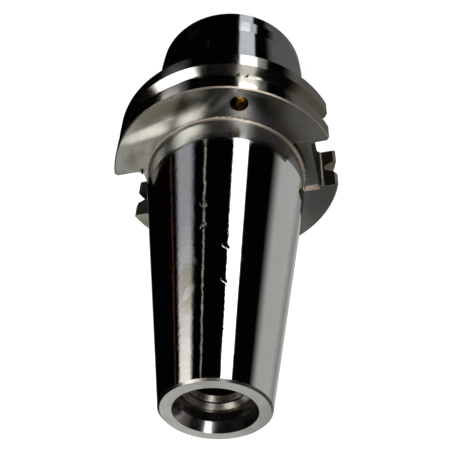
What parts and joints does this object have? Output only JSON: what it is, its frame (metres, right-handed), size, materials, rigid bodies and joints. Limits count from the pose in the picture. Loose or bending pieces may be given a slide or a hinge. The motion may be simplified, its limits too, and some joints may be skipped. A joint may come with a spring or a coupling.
{
  "type": "hydraulic chuck",
  "caption": "Slim hydraulic expansion chuck with a hollow taper shank, a grooved and slotted flange and an oil-pressed clamping sleeve.",
  "frame": {"origin": "centre of the shank's end face, on which the chuck stands", "axes": "+Z along the spindle axis towards the nose, +X through the shallow drive slot"},
  "size_m": [0.0604, 0.063, 0.1246],
  "materials": {
    "polished_steel": "mirror polished steel",
    "ground_steel": "fine ground steel",
    "black_steel": "black oxide socket screw steel",
    "zinc_steel": "bright turned steel",
    "brass": "turned brass",
    "seal_rubber": "black nitrile rubber",
    "backup_plastic": "white hard plastic"
  },
  "bodies": {
    "chuck": {"chuck_body": "polished_steel", "expansion_sleeve": "ground_steel", "duct_plug": "zinc_steel", "fill_ball": "zinc_steel", "fill_plug": "brass", "coolant_nut": "zinc_steel"},
    "tube_swing": {"tube_seal_inner": "seal_rubber"},
    "coolant_feed": {"coolant_tube": "zinc_steel", "tube_seal_outer": "seal_rubber"},
    "pressure_ram": {"pressure_piston": "ground_steel", "piston_seal": "seal_rubber", "piston_backup_ring": "backup_plastic"},
    "pressure_drive": {"pressure_screw": "black_steel"},
    "stop_carriage": {"stop_screw_seal": "seal_rubber"},
    "length_stop": {"length_stop_screw": "black_steel"}
  },
  "joints": [
    {"name": "ram_travel", "type": "slide", "parent": "chuck", "child": "pressure_ram", "axis": [-1, 0, 0], "range_m": [0, 0.0045]},
    {"name": "pressure_turn", "type": "hinge", "parent": "pressure_ram", "child": "pressure_drive", "pos_m": [0.009, -0.0132, 0.0585], "axis": [-1, 0, 0], "range_deg": [0, 1620]},
    {"name": "stop_travel", "type": "slide", "parent": "chuck", "child": "stop_carriage", "axis": [0, 0, 1], "range_m": [0, 0.01]},
    {"name": "stop_turn", "type": "hinge", "parent": "stop_carriage", "child": "length_stop", "pos_m": [0, 0, 0.055], "axis": [0, 0, 1], "range_deg": [0, 3600]},
    {"name": "tube_tilt_x", "type": "hinge", "parent": "chuck", "child": "tube_swing", "pos_m": [0, 0, 0.03645], "axis": [1, 0, 0], "range_deg": [-0.7, 0.7], "stiffness_Nm_per_rad": 0.2},
    {"name": "tube_tilt_y", "type": "hinge", "parent": "tube_swing", "child": "coolant_feed", "pos_m": [0, 0, 0.03645], "axis": [0, 1, 0], "range_deg": [-0.7, 0.7], "stiffness_Nm_per_rad": 0.2}
  ],
  "couplings": [
    {"joint": "pressure_turn", "follows": "ram_travel", "rad_per_m": 6283.2},
    {"joint": "stop_turn", "follows": "stop_travel", "rad_per_m": 6283.2}
  ]
}
